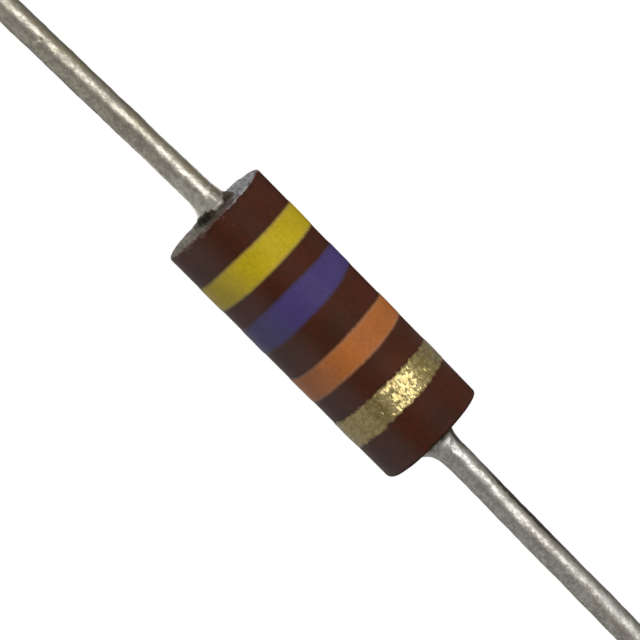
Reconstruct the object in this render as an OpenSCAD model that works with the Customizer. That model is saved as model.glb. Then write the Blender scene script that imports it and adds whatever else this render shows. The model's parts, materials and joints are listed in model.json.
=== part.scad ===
// Moulded half-watt axial resistor with four colour code bands.
// The body's axis is X: the first digit band is near its left end, at -X.
// The origin is the middle of the body, on its axis. All lengths are in millimetres.

/* [Moulded jacket] */
// Length of the jacket between its end faces
body_l = 9.27; // [8.7:0.01:10]
// Diameter of the jacket at its left end face
body_d = 3.68; // [3.5:0.01:3.9]
// Draft of the mould: how much narrower the right end is than the left
draft = 0.08; // [0.02:0.01:0.16]
// Radius of the edge round the left end face
left_edge_r = 0.08; // [0.04:0.01:0.2]
// Radius of the edge round the right end face
right_edge_r = 0.14; // [0.06:0.01:0.4]

/* [Resistance core] */
// Diameter of the carbon slug inside the jacket
core_d = 1.9; // [1.7:0.05:2.4]
// Thickness of the jacket over each end of the slug
end_cover = 1.15; // [0.9:0.05:1.5]

/* [Lead wires] */
// Diameter of each lead wire with its solder coat
lead_d = 0.84; // [0.76:0.02:0.9]
// Length of each lead outside the body
lead_l = 38.1; // [20:0.1:40]
// Chamfer round the sheared tip of each lead
tip_chamfer = 0.08; // [0.04:0.01:0.15]
// Distance from the body's axis to the left lead where it leaves the end face
left_lead_off = 0.17; // [0:0.01:0.25]
// Distance from the body's axis to the right lead where it leaves the end face
right_lead_off = 0.06; // [0:0.01:0.25]
// Angle that the left lead leans off the body's axis
left_lean_angle = 1.66; // [0.1:0.02:3]
// Angle that the right lead leans off the body's axis
right_lean_angle = 0.25; // [0.1:0.05:3]

/* [Lead anchors in the core] */
// Diameter of the buried wire at its rings, where forming has drawn it down
formed_d = 0.78; // [0.7:0.02:0.82]
// Straight stretch of wire between the end of the slug and the first ring
anchor_neck_l = 0.15; // [0.1:0.05:0.4]
// Number of rings rolled round the buried wire
ring_count = 2; // [1:1:3]
// Distance from one ring to the next
ring_pitch = 0.34; // [0.25:0.01:0.45]
// Diameter over the crest of a ring
ring_d = 1.1; // [1:0.02:1.2]
// Diameter of the upset head at the end of the wire
head_d = 1.36; // [1.2:0.02:1.5]
// Thickness of the upset head
head_l = 0.36; // [0.25:0.01:0.5]
// Chamfer round the inner face of the head
head_chamfer = 0.12; // [0.05:0.01:0.2]

/* [Solder collars] */
// How far the foot of the left collar reaches past the wire
left_foot_w = 0.24; // [0.2:0.01:0.35]
// How far the foot of the right collar reaches past the wire
right_foot_w = 0.28; // [0.24:0.01:0.35]
// Length of the left collar along the wire
left_collar_l = 0.7; // [0.6:0.01:0.85]
// Length of the right collar along the wire
right_collar_l = 0.86; // [0.65:0.01:0.9]
// How far the solder of the left collar has run to one side
left_run = 0.05; // [0:0.01:0.12]
// How far the solder of the right collar has run to one side
right_run = 0.13; // [0:0.01:0.15]
// Radius of the hollow flare from a collar's foot up to its wire
flare_r = 0.62; // [0.55:0.01:0.75]

/* [Colour code bands] */
// Thickness of the paint
paint_t = 0.04; // [0.04:0.01:0.08]
// Width of the thinned edge on each side of a band
paint_edge = 0.05; // [0.02:0.01:0.1]
// Distance from the left end face to the middle of the first digit band
first_digit_at = 1.76; // [1.4:0.02:1.8]
// Width of the first digit band
first_digit_w = 0.98; // [0.7:0.01:1.1]
// Distance from the left end face to the middle of the second digit band
second_digit_at = 3.48; // [3.2:0.02:3.8]
// Width of the second digit band
second_digit_w = 1.04; // [0.7:0.01:1.1]
// Distance from the left end face to the middle of the multiplier band
multiplier_at = 5.59; // [5:0.01:5.8]
// Width of the multiplier band
multiplier_w = 0.93; // [0.7:0.01:1.1]
// Distance from the left end face to the middle of the tolerance band
tolerance_at = 7.41; // [7.1:0.01:7.6]
// Width of the tolerance band
tolerance_w = 0.9; // [0.7:0.01:1.1]

/* [Hidden] */
$fn = 96;
// Straight stretches in the rounded edge of an end face
edge_steps = 8;

lead_r = lead_d / 2;
left_face_r = body_d / 2;
right_face_r = left_face_r - draft / 2;
side_angle = atan((left_face_r - right_face_r) / body_l);

// The slug was laid midway between the two wires that it joins.
core_off = (left_lead_off + right_lead_off) / 2;
core_l = body_l - 2 * end_cover;

// Depths of the anchor's parts, in from the end face
rings_start = end_cover + anchor_neck_l;
head_start = rings_start + ring_count * ring_pitch;
head_end = head_start + head_l;

// The flare runs a little way into the wire, so that it meets it at a clear line.
flare_bite = 0.02;
// The straight run of a lead starts this far out from the end face, inside its collar.
run_start = 0.1;
// The buried neck reaches this far out of the end face, also inside the collar.
neck_out = 0.05;

// Radius of the drafted side at a distance from the left end face
function side_r(at) = left_face_r + (right_face_r - left_face_r) * at / body_l;

// Centre of an edge's arc, tangent to an end face and to the drafted side
function edge_centre(face_at, edge_r, inward) =
    let (at = face_at + inward * edge_r)
    [side_r(at) - edge_r / cos(side_angle), at];

// Moves a piece drawn along Z from the left end face onto the body's axis
module on_axis() {
    translate([-body_l / 2, 0, 0]) rotate([0, 90, 0]) children();
}

// Places a lead drawn outward from the right end face on either end of the body
module at_end(right) {
    mirror([right ? 0 : 1, 0, 0])
        translate([body_l / 2, right ? right_lead_off : left_lead_off, 0]) children();
}

// Points along an arc, from one direction to another
function arc(centre, r, from, to) = [
    for (i = [0 : edge_steps])
        let (a = from + (to - from) * i / edge_steps)
        centre + r * [cos(a), sin(a)]
];

// Section of the jacket's outside: a drafted side with a rounded edge at each end
module jacket_section() {
    polygon(concat(
        [[0, 0]],
        arc(edge_centre(0, left_edge_r, 1), left_edge_r, -90, side_angle),
        arc(edge_centre(body_l, right_edge_r, -1), right_edge_r, side_angle, 90),
        [[0, body_l]]
    ));
}

// Slug before the anchors are pressed into it
module core_blank() {
    on_axis() translate([0, core_off, end_cover]) cylinder(d = core_d, h = core_l);
}

// Buried part of a lead: a tapered neck through the jacket, then rings and an upset head
// in the slug
module anchor() {
    ring_points = [for (i = [0 : ring_count - 1]) each [
        [formed_d / 2, -rings_start - i * ring_pitch],
        [ring_d / 2, -rings_start - (i + 0.5) * ring_pitch]
    ]];
    rotate([0, 90, 0]) rotate_extrude() polygon(concat(
        [[0, neck_out], [lead_r, neck_out]],
        ring_points,
        [[formed_d / 2, -head_start], [head_d / 2, -head_start],
         [head_d / 2, -head_end + head_chamfer], [head_d / 2 - head_chamfer, -head_end],
         [0, -head_end]]
    ));
}

// Solder that has run down the wire and spread on the end face, with a hollow flare
module collar(foot_w, collar_l, run) {
    flare_c = lead_r - run - flare_bite + flare_r;
    translate([0, -run, 0]) rotate([0, 90, 0]) rotate_extrude() difference() {
        square([lead_r + foot_w, collar_l]);
        translate([flare_c, collar_l]) circle(r = flare_r);
    }
}

// Straight run of a lead outside the body, leaning off its axis, with a sheared tip
module free_run(lean) {
    rotate([0, 0, -lean]) rotate([0, 90, 0]) rotate_extrude() polygon([
        [0, run_start], [lead_r, run_start], [lead_r, lead_l - tip_chamfer],
        [lead_r - tip_chamfer, lead_l], [0, lead_l]
    ]);
}

// Whole lead: anchor, collar and free run are one piece of coated wire
module lead(right) {
    at_end(right) {
        anchor();
        collar(right ? right_foot_w : left_foot_w, right ? right_collar_l : left_collar_l,
               right ? right_run : left_run);
        free_run(right ? right_lean_angle : left_lean_angle);
    }
}

// Painted ring that lies on the drafted side, thinner along both edges
module band(at, w) {
    from = at - w / 2;
    to = at + w / 2;
    on_axis() rotate_extrude() polygon([
        [side_r(from), from], [side_r(from + paint_edge) + paint_t, from + paint_edge],
        [side_r(to - paint_edge) + paint_t, to - paint_edge], [side_r(to), to]
    ]);
}

module moulded_jacket() {
    color([0.24, 0.14, 0.1]) difference() {
        on_axis() rotate_extrude() jacket_section();
        core_blank();
        at_end(false) anchor();
        at_end(true) anchor();
    }
}

module resistance_core() {
    color([0.07, 0.07, 0.07]) difference() {
        core_blank();
        at_end(false) anchor();
        at_end(true) anchor();
    }
}

module left_lead() {
    color([0.7, 0.68, 0.63]) lead(false);
}

module right_lead() {
    color([0.7, 0.68, 0.63]) lead(true);
}

module first_digit_band() {
    color([0.7, 0.62, 0.12]) band(first_digit_at, first_digit_w);
}

module second_digit_band() {
    color([0.27, 0.24, 0.43]) band(second_digit_at, second_digit_w);
}

module multiplier_band() {
    color([0.66, 0.4, 0.21]) band(multiplier_at, multiplier_w);
}

module tolerance_band() {
    color([0.62, 0.52, 0.3]) band(tolerance_at, tolerance_w);
}

moulded_jacket();
resistance_core();
left_lead();
right_lead();
first_digit_band();
second_digit_band();
multiplier_band();
tolerance_band();
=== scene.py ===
"""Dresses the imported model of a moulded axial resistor: jacket, lead wires, colour bands and stage."""

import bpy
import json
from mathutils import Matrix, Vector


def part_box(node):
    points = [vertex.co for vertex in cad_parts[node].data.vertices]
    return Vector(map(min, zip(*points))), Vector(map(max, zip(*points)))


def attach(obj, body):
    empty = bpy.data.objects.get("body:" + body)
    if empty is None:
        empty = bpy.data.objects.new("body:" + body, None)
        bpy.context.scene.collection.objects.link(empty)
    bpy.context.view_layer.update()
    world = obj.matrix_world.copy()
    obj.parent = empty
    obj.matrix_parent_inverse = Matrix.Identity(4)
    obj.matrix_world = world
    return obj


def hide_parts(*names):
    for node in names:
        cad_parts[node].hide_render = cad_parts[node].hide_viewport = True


bl_info = {
    "name": "Axial Resistor Finish",
    "version": (1, 0, 0),
    "blender": (4, 5, 0),
    "location": "3D View > Sidebar > Resistor",
    "description": "Builds the moulded jacket, solder-coated wires and colour bands of an axial resistor",
    "category": "Object",
}

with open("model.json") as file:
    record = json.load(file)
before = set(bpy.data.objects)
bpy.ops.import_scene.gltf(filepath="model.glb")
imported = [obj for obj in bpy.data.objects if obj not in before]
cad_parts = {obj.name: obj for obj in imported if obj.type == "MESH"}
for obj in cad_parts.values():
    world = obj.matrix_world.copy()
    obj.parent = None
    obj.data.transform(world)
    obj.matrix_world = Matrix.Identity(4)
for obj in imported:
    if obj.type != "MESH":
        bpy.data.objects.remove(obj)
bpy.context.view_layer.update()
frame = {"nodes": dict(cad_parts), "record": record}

import json
import math

import bmesh
import bpy
import numpy as np
from bpy.props import FloatProperty, FloatVectorProperty, IntProperty, PointerProperty
from bpy.types import Operator, Panel, PropertyGroup
from mathutils import Matrix, Vector

# Meshes are worked out in millimetres and stored in metres.
MM = 0.001

# Corners of a lead's CAD node that lie deeper than this belong to its buried anchor.
ANCHOR_DEPTH = 0.1


def box_mm(node):
    """Lowest and highest corners of a CAD node, in millimetres."""
    low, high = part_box(node)
    return np.array(low) / MM, np.array(high) / MM


class Body:
    """The jacket's own sizes, read from the frame."""

    low, high = box_mm("moulded_jacket")
    left_x, right_x = low[0], high[0]
    widest_r = high[1]
    first_low, first_high = box_mm("first_digit_band")
    last_low, last_high = box_mm("tolerance_band")
    # Both bands have the same paint, so their radii give the draft of the mould.
    taper = (first_high[1] - last_high[1]) / (last_low[0] - first_low[0])
    core_low, core_high = box_mm("resistance_core")
    core_r = (core_high[1] - core_low[1]) / 2
    core_y = (core_high[1] + core_low[1]) / 2

    @classmethod
    def side_r(cls, x):
        """Radius of the drafted side at a distance along the axis."""
        return cls.widest_r - cls.taper * (x - cls.left_x)


class Wire:
    """One lead wire's place, read from its mount and its CAD node."""

    def __init__(self, side):
        self.node = side + "_lead"
        mount = next(m for m in frame["record"]["mounts"] if m["name"] == side + "_lead_wire")
        point = np.array(mount["pos_m"]) / MM
        self.out = np.array(mount["axis"])
        self.r = mount["dims"]["r_mm"]
        self.sign = math.copysign(1.0, self.out[0])
        self.face_x = Body.right_x if self.sign > 0 else Body.left_x
        self.root = point + self.out * (self.face_x - point[0]) / self.out[0]
        low, high = box_mm(self.node)
        tip_x = high[0] if self.sign > 0 else low[0]
        self.length = (tip_x - self.face_x) / self.out[0]
        self.across = self.sign * np.array([-self.out[1], self.out[0], 0.0])

    def anchor_profile(self):
        """Depth and radius of each ring of the buried end, from the CAD node's own corners."""
        verts = frame["nodes"][self.node].data.vertices
        co = np.array([v.co for v in verts]) / MM
        depth = self.sign * (self.face_x - co[:, 0])
        radius = np.hypot(co[:, 1] - self.root[1], co[:, 2])
        buried = depth > ANCHOR_DEPTH
        return sorted({(round(d, 2), round(r, 2)) for d, r in zip(depth[buried], radius[buried])})

    def at(self, u, angle):
        """Point on the wire's skin, from the distance out and the angle in degrees from +Y."""
        turn = math.radians(angle)
        lift = math.cos(turn) * self.across + math.sin(turn) * np.array([0.0, 0.0, 1.0])
        return self.root + self.out * u + self.r * lift

    def ring(self, u, radius, angles):
        """Ring of points at u out from the end face; it is buried where u is below zero."""
        lean = float(soft_step(u, 0.0, 0.3))
        across = np.array([0.0, 1.0, 0.0]) * (1.0 - lean) + self.across * lean
        across /= np.linalg.norm(across)
        heading = self.out if u > 0.0 else np.array([self.sign, 0.0, 0.0])
        radius = np.broadcast_to(radius, angles.shape)[:, None]
        upright = np.array([0.0, 0.0, 1.0])
        spokes = np.cos(angles)[:, None] * across + np.sin(angles)[:, None] * upright
        return self.root + heading * u + radius * spokes


def tint(name, description, default):
    """Colour setting."""
    return FloatVectorProperty(
        name=name, description=description, subtype="COLOR", default=default, min=0.0, max=1.0)


def number(name, description, default, low, high, subtype="NONE"):
    """Number setting with its limits."""
    return FloatProperty(
        name=name, description=description, subtype=subtype, default=default, min=low, max=high)


def size_mm(name, description, default, low, high):
    """Length setting with its limits."""
    return number(name, description + ", in millimetres", default, low, high)


class ResistorJacketSettings(PropertyGroup):
    """Moulded jacket: finish and the small faults of its moulding"""

    colour: tint("Brown", "Colour of the moulded phenolic", (0.0465, 0.012, 0.003))
    colour_red: tint("Red Brown", "Colour of the redder clouds", (0.0625, 0.0115, 0.0034))
    # The left end's grey film is partly painted reflection, lighter on its +Y half as painted light and
    # darker on its -Y half as painted shade.
    end_film_lit: tint("End Film", "Colour of the film on the left end's +Y half", (0.345, 0.34, 0.352))
    end_film_shaded: tint("End Film Low", "Colour of the film on its -Y half", (0.2, 0.167, 0.132))
    residue: tint("Flux Residue", "Colour of the flux left round a wire", (0.042, 0.033, 0.02))
    stain: tint("Stain", "Colour of the brown stain beside a wire", (0.08, 0.047, 0.038))
    roughness: number("Roughness", "Roughness of the moulded skin", 0.72, 0.0, 1.0)
    undulation: size_mm("Undulation", "Height of the slow waves in the skin", 0.003, 0.0, 0.05)
    left_slant: number("Left Slant", "How far the left end face is out of square",
                       math.radians(1.2), 0.0, 0.1, "ANGLE")
    right_slant: number("Right Slant", "How far the right end face is out of square",
                        math.radians(1.1), 0.0, 0.1, "ANGLE")
    right_edge: size_mm("Right Edge", "Radius of the right edge on the +Y side", 0.09, 0.05, 0.6)
    right_edge_far: size_mm("Right Edge Far", "Radius of the right edge on the -Y side", 0.18, 0.05, 0.6)
    left_edge: size_mm("Left Edge", "Radius of the left edge", 0.11, 0.02, 0.3)


class ResistorWireSettings(PropertyGroup):
    """Lead wires: solder coat, collars and small marks"""

    colour: tint("Solder", "Colour of the solder coat", (0.5, 0.485, 0.45))
    colour_dull: tint("Dull Solder", "Colour of the tarnished patches", (0.32, 0.307, 0.28))
    olive: tint("Olive Film", "Colour of the flux film along the +Y side", (0.33, 0.285, 0.2))
    purple: tint("Purple Tarnish", "Colour of the darkest tarnish", (0.29, 0.25, 0.225))
    # The rubbed, clean streak is a painted highlight.
    bright: tint("Painted Highlight", "Colour of the rubbed, clean streak", (0.57, 0.565, 0.55))
    warm: tint("Warm Film", "Tint of the flux film over the left wire", (1.0, 0.96, 0.86))
    # On the right collar the dark foot is partly painted shadow.
    flux: tint("Burnt Flux", "Colour of the dark flux at a collar's foot", (0.03, 0.025, 0.017))
    # The dark line along the +Y side of a wire is painted shade.
    dirt: tint("Dirt", "Colour of the dark line along the +Y side", (0.085, 0.078, 0.062))
    roughness: number("Roughness", "Roughness of the solder coat", 0.42, 0.0, 1.0)
    lump_height: size_mm("Lumps", "Height of the lumps in the coat", 0.0075, 0.0, 0.05)
    lump_width: size_mm("Lump Width", "Width of the lumps in the coat", 0.45, 0.1, 2.0)


class ResistorBandSettings(PropertyGroup):
    """Colour code bands: paint colours and edges"""

    first_digit: tint("First Digit", "Yellow paint", (0.44, 0.322, 0.003))
    second_digit: tint("Second Digit", "Violet paint", (0.05, 0.034, 0.136))
    multiplier: tint("Multiplier", "Orange paint", (0.368, 0.114, 0.022))
    tolerance: tint("Tolerance", "Gold paint", (0.66, 0.53, 0.245))
    paint: size_mm("Paint", "Thickness of the paint", 0.014, 0.002, 0.04)
    edge_fade: size_mm("Edge Fade", "Width of the thin paint along an edge", 0.15, 0.01, 0.3)
    edge_wave: size_mm("Edge Wave", "How far a band's edges wander", 0.012, 0.0, 0.1)


class ResistorStageSettings(PropertyGroup):
    """Camera and picture"""

    scale: number("Picture Scale", "Pixels for each millimetre at the body", 33.96, 1.0, 200.0)
    tilt: number("Tilt", "Lean of the view off straight down, towards the left end",
                 math.radians(7.1), 0.0, 1.5, "ANGLE")
    roll: number("Roll", "Angle of the body's axis below the picture's level",
                 math.radians(45.3), 0.0, 3.2, "ANGLE")
    lens: size_mm("Lens", "Focal length of the camera", 300.0, 10.0, 1000.0)
    body_px: FloatVectorProperty(
        name="Body Place", description="Where the body's middle lies in the picture, in pixels",
        size=2, default=(323.2, 324.5))
    picture_px: IntProperty(
        name="Picture Size", description="Width and height of the picture, in pixels",
        default=640, min=1)


def ripple(points, width, seed, terms=28):
    """Smooth noise of unit spread over points in millimetres, with bumps about width wide."""
    rng = np.random.default_rng(seed)
    heading = rng.normal(size=(terms, 3))
    heading /= np.linalg.norm(heading, axis=1, keepdims=True)
    waves = heading * (math.tau / (width * rng.uniform(1.2, 2.6, (terms, 1))))
    phase = rng.uniform(0.0, math.tau, terms)
    return math.sqrt(2.0 / terms) * np.cos(points @ waves.T + phase).sum(axis=1)


def ripple_grid(points, width, seed):
    """Ripple over a grid of points, rings by angles."""
    rings, count, _ = points.shape
    return ripple(points.reshape(-1, 3), width, seed).reshape(rings, count)


def soft_step(value, low, high):
    """Goes smoothly from 0 at low to 1 at high."""
    t = np.clip((value - low) / (high - low), 0.0, 1.0)
    return t * t * (3.0 - 2.0 * t)


def bell(value, middle, width):
    """Smooth hump: 1 at its middle, and about a third one width away from it."""
    return np.exp(-((value - middle) / width) ** 2)


def spot(points, middle, width):
    """Soft round spot over points: 1 at its middle, and about a third one width away."""
    return bell(np.linalg.norm(points - middle, axis=-1), 0.0, width)


def from_table(table, value):
    """What a table of pairs says for a value, in proportion between its rows."""
    return np.interp(value, *np.array(table).T)


def ring_angles(count):
    """Angles round a ring, from +Y towards +Z."""
    return np.arange(count) * (math.tau / count)


def ring_points(x, y, radius, angles):
    """Rings of points round a line along X; x and radius may change round each ring."""
    across, up = y + radius * np.cos(angles), radius * np.sin(angles)
    return np.stack([np.broadcast_to(x, up.shape), across, up], axis=-1)


def mesh_from_rings(name, rings, marks, closed):
    """Object of quads through rings of points in millimetres, with float marks on its points.

    Where it is closed the last ring joins the first, and otherwise each end has a cap.
    """
    ring_count, count, _ = rings.shape
    here = np.arange(ring_count * count).reshape(ring_count, count)
    there = np.roll(here, -1, axis=0)
    quads = np.stack([here, np.roll(here, -1, axis=1), np.roll(there, -1, axis=1), there], axis=-1)
    if closed:
        faces = quads.reshape(-1, 4).tolist()
    else:
        faces = quads[:-1].reshape(-1, 4).tolist()
        faces += [here[0, ::-1].tolist(), here[-1].tolist()]
    mesh = bpy.data.meshes.new(name)
    mesh.from_pydata((rings.reshape(-1, 3) * MM).tolist(), [], faces)
    for mark, values in marks.items():
        layer = mesh.attributes.new(mark, "FLOAT", "POINT")
        layer.data.foreach_set("value", np.asarray(values, np.float32).ravel())
    form = bmesh.new()
    form.from_mesh(mesh)
    bmesh.ops.recalc_face_normals(form, faces=form.faces)
    form.to_mesh(mesh)
    form.free()
    mesh.shade_smooth()
    piece = bpy.data.objects.new(name, mesh)
    bpy.context.scene.collection.objects.link(piece)
    return piece


def seat(piece, node, material):
    """Puts a finished piece in the place of its CAD node."""
    piece.data.materials.append(material)
    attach(piece, "root")
    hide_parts(node)


JACKET_SPOKES = 320
SIDE_SEED = 11
SIDE_WAVE_WIDTH = 1.6
# How far along the body the slant of an end face is felt
SLANT_REACH = 1.4
# What lies closer to an end than this is part of its face or of its rounded edge.
END_DEPTH = 0.3


def side_surface(x, angles, undulation):
    """Radius of the jacket's drafted side, with its slow waves, at x and round the axis."""
    radius = Body.side_r(x)
    plain = ring_points(x, 0.0, radius, angles)
    return radius + ripple_grid(plain, SIDE_WAVE_WIDTH, SIDE_SEED) * undulation


def end_slant(x, y, settings):
    """How far a point moves along the axis because its end face is out of square."""
    left = math.tan(settings.left_slant) * bell(x, Body.left_x, SLANT_REACH)
    right = math.tan(settings.right_slant) * bell(x, Body.right_x, SLANT_REACH)
    return -(left + right) * y


# Pits of the jacket's skin: place along the axis, angle round it, width and depth, in
# millimetres and degrees. A pit with a depth below zero is a lump.
JACKET_PITS = (
    (-4.44, 124.6, 0.055, 0.032), (-4.4, 121.5, 0.04, -0.012), (-4.6, 86.0, 0.1, 0.03),
    (-4.58, 74.0, 0.08, 0.025), (-4.58, 60.0, 0.05, 0.015), (-2.1, 98.0, 0.05, 0.008),
    (0.1, 62.0, 0.05, 0.006), (3.7, 100.0, 0.06, 0.008),
)

# Dark chips: place along the axis, angle and width
JACKET_CHIPS = (
    (-4.47, 122.0, 0.04), (-4.4, 126.0, 0.035), (-4.35, 123.0, 0.03), (-4.52, 130.0, 0.03),
    (1.78, 59.0, 0.03), (-4.25, 12.0, 0.06), (-4.1, 20.0, 0.04), (4.42, 108.0, 0.04),
)

# Small pale specks in the moulding: place along the axis, angle and width
JACKET_SPECKS = (
    (-3.32, 77.0, 0.035), (-3.28, 82.0, 0.03), (2.3, 92.0, 0.03), (0.62, 78.0, 0.045),
    (-4.43, 123.5, 0.04), (-4.6, 85.0, 0.05), (-4.5, 86.0, 0.05), (-4.44, 136.0, 0.06),
    (-1.62, 104.0, 0.025), (-1.56, 62.0, 0.03), (1.86, 71.0, 0.035), (3.86, 58.0, 0.03),
    (-4.15, 84.0, 0.03), (-0.35, 118.0, 0.025), (2.05, 118.0, 0.025),
)

# Redder clouds of the moulding: place along the axis, angle, width and strength. A cloud with
# a strength below zero is darker instead.
JACKET_CLOUDS = (
    (4.45, 80.0, 0.8, -0.16), (4.15, 69.0, 0.48, -0.36), (2.25, 68.0, 0.5, 0.45),
    (0.15, 88.0, 0.45, -0.25), (-1.85, 104.0, 0.3, -0.2), (-4.2, 133.0, 0.35, 0.35),
    (-4.25, 48.0, 0.3, 0.25), (-3.7, 102.0, 0.35, -0.2), (0.4, 119.0, 0.3, 0.25),
)

# Dark flux on the left end face: middle in Y and Z, half width and height, and strength
FLUX_BLOBS = (
    (-0.2, 0.75, 0.3, 0.5, 1.0), (-0.18, 1.3, 0.24, 0.34, 0.85),
    (-0.42, 0.55, 0.14, 0.3, 0.8), (-0.5, -0.3, 0.15, 0.45, 0.7),
    (0.6, 0.1, 0.14, 0.4, 0.45), (-0.85, 0.3, 0.1, 0.22, 0.6),
    (-0.3, -0.9, 0.35, 0.5, 0.8),
)

# Brown stains on the left end face, given as the flux is
STAIN_BLOBS = (
    (0.46, 0.85, 0.26, 0.85, 1.0), (0.18, 1.45, 0.3, 0.32, 0.9), (0.72, 0.65, 0.12, 0.5, 0.7),
    (0.62, 0.1, 0.16, 0.45, 1.0), (0.4, 1.45, 0.42, 0.45, 0.95), (-0.1, 1.62, 0.6, 0.3, 0.9),
)


def side_spot(points, x, angle, width):
    """Soft spot on the drafted side, from its place along the axis and its angle in degrees."""
    turn = math.radians(angle)
    r = Body.side_r(x)
    return spot(points, np.array([x, r * math.cos(turn), r * math.sin(turn)]), width)


def blob_cover(y, z, blobs, seed):
    """Share of an end face that ragged blobs cover, from 0 to 1."""
    here = np.stack([np.zeros_like(y), y, z], axis=-1)
    rough = ripple_grid(here, 0.14, seed) * 0.55 + ripple_grid(here, 0.4, seed + 1) * 0.45
    cover = np.zeros_like(y)
    for middle_y, middle_z, wide, tall, strength in blobs:
        away = np.hypot((y - middle_y) / wide, (z - middle_z) / tall) + 0.3 * rough
        cover = np.maximum(cover, strength * (1.0 - soft_step(away, 0.7, 1.25)))
    return cover


def jacket_rings(settings, left_wire, right_wire):
    """Rings of the jacket, outside and cavity, and how far each belongs to an end face."""
    angles = ring_angles(JACKET_SPOKES)
    left_e = settings.left_edge
    far_side = (1.0 - np.cos(angles)) / 2.0
    right_e = settings.right_edge + (settings.right_edge_far - settings.right_edge) * far_side
    rings, faces = [], []

    def add(x, y, radius, face=0.0):
        rings.append(ring_points(x, y, radius, angles))
        faces.append(np.full(JACKET_SPOKES, face))

    def add_edge(face_x, inward, edge_r, radius, turns):
        for turn in turns:
            bend = math.radians(turn)
            add(face_x + inward * edge_r * (1.0 - math.sin(bend)), 0.0,
                radius - edge_r * (1.0 - math.cos(bend)), turn / 90.0)

    def add_face(face_x, rim_r, wire, shares):
        for share in shares:
            add(face_x, share * wire.root[1], rim_r + share * (wire.r - rim_r), 1.0)

    start = Body.left_x + left_e
    grid_x = start + (Body.right_x - right_e - start) * np.linspace(0.0, 1.0, 170)[:, None]
    side_r = side_surface(grid_x, angles, settings.undulation)
    for x, r in zip(grid_x, side_r):
        add(x, 0.0, r)
    add_edge(Body.right_x, -1.0, right_e, side_r[-1], np.linspace(0.0, 90.0, 12)[1:])
    add_face(Body.right_x, side_r[-1] - right_e, right_wire, np.linspace(0.0, 1.0, 30)[1:])
    for x in np.linspace(Body.right_x, Body.core_high[0], 4)[1:]:
        add(x, right_wire.root[1], right_wire.r)
    for x in np.linspace(Body.core_high[0], Body.core_low[0], 6):
        add(x, Body.core_y, Body.core_r)
    for x in np.linspace(Body.core_low[0], Body.left_x, 4):
        add(x, left_wire.root[1], left_wire.r)
    add_face(Body.left_x, side_r[0] - left_e, left_wire, np.linspace(1.0, 0.0, 60)[1:])
    add_edge(Body.left_x, 1.0, left_e, side_r[0], np.linspace(90.0, 0.0, 9)[1:-1])
    return np.array(rings), np.array(faces)


def build_jacket(settings):
    """Jacket with its draft, its two edges, slanted end faces, pits, specks and residue."""
    left_wire, right_wire = Wire("left"), Wire("right")
    rings, face = jacket_rings(settings, left_wire, right_wire)
    x, y, z = rings[..., 0], rings[..., 1], rings[..., 2]
    radius = np.hypot(y, z)
    turn = np.degrees(np.arctan2(z, y))
    outside = radius > Body.core_r * 1.25
    at_left = (np.abs(x - Body.left_x) < END_DEPTH) & (face > 0.0)
    at_right = (np.abs(x - Body.right_x) < END_DEPTH) & (face > 0.0)

    flux = np.where(at_left, blob_cover(y, z, FLUX_BLOBS, 31) * face, 0.0)
    stain = np.where(at_left, blob_cover(y, z, STAIN_BLOBS, 35) * face, 0.0)
    round_wire = ((right_wire.root[1], 0.0, 0.85, 0.85, 0.8),)
    flux = np.where(at_right, blob_cover(y, z, round_wire, 39) * face, flux)
    # A thin dark line follows the left edge, and a pale haze of the end film, partly painted reflection
    # like the film, crosses it on the -Y half.
    past_edge = x - Body.left_x - settings.left_edge
    thin = ripple_grid(rings * np.array([1.0, 0.6, 0.6]), 0.16, 43)
    line = bell(past_edge, 0.04, 0.04) * soft_step(thin, -1.4, 1.0)
    haze = 0.75 * (1.0 - soft_step(past_edge, 0.05, 0.16)) * soft_step(turn, 100.0, 112.0)
    haze *= soft_step(thin, -1.8, 0.4)
    left_half = outside & (x < 0.0) & (face < 1.0)
    chips = np.maximum.reduce([side_spot(rings, *chip) for chip in JACKET_CHIPS])
    rim = np.maximum(np.where(left_half, line, 0.0), 0.4 * chips)
    specks = np.maximum.reduce([side_spot(rings, *speck) for speck in JACKET_SPECKS])
    speck = np.maximum(specks, np.where(left_half, haze, 0.0))
    cloud = sum(strength * side_spot(rings, *place) for *place, strength in JACKET_CLOUDS)
    cloud = np.where(outside, cloud, 0.0)

    dent = sum(depth * side_spot(rings, *place) for *place, depth in JACKET_PITS)
    pull = np.where(outside, dent / np.maximum(radius, 1e-6), 0.0)
    drawn = rings * np.array([1.0, 1.0, 0.3])
    lumps = ripple_grid(drawn, 0.13, 41)
    grain = ripple_grid(drawn, 0.3, 42)
    lift = (flux + 0.5 * stain) * (0.016 + 0.009 * lumps) + 0.005 * grain + 0.003 * lumps
    swell = bell(y, 1.05, 0.45) * bell(z, -1.45, 0.7) * 0.035
    open_face = radius > left_wire.r * 1.05 + abs(left_wire.root[1])
    rings[..., 0] -= np.where(at_left & open_face, face * (lift + swell), 0.0)
    rings[..., 0] += np.where(at_right & open_face, face * 0.003 * grain, 0.0)
    rings[..., 1:] *= 1.0 - pull[..., None]
    rings[..., 0] += end_slant(rings[..., 0], rings[..., 1], settings)
    # The film on the left end has spread over its edge beside the wire.
    worn = 1.0 + 1.6 * bell(turn, 62.0, 18.0)
    end_face = np.where(at_left, np.clip(face * worn, 0.0, 1.0), face)
    marks = {"flux": flux, "stain": stain, "end_face": end_face, "speck": speck, "rim": rim,
             "cloud": cloud}
    return mesh_from_rings("jacket_skin", rings, marks, closed=True)


WIRE_SPOKES = 96
TIP_CHAMFER = 0.08
# How deep a collar's foot is sunk into the end face
FOOT_DEPTH = 0.03
# Angle from +Y of the painted shade line along each wire, in degrees
SHADE_LINE_ANGLE = 16.0

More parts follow.
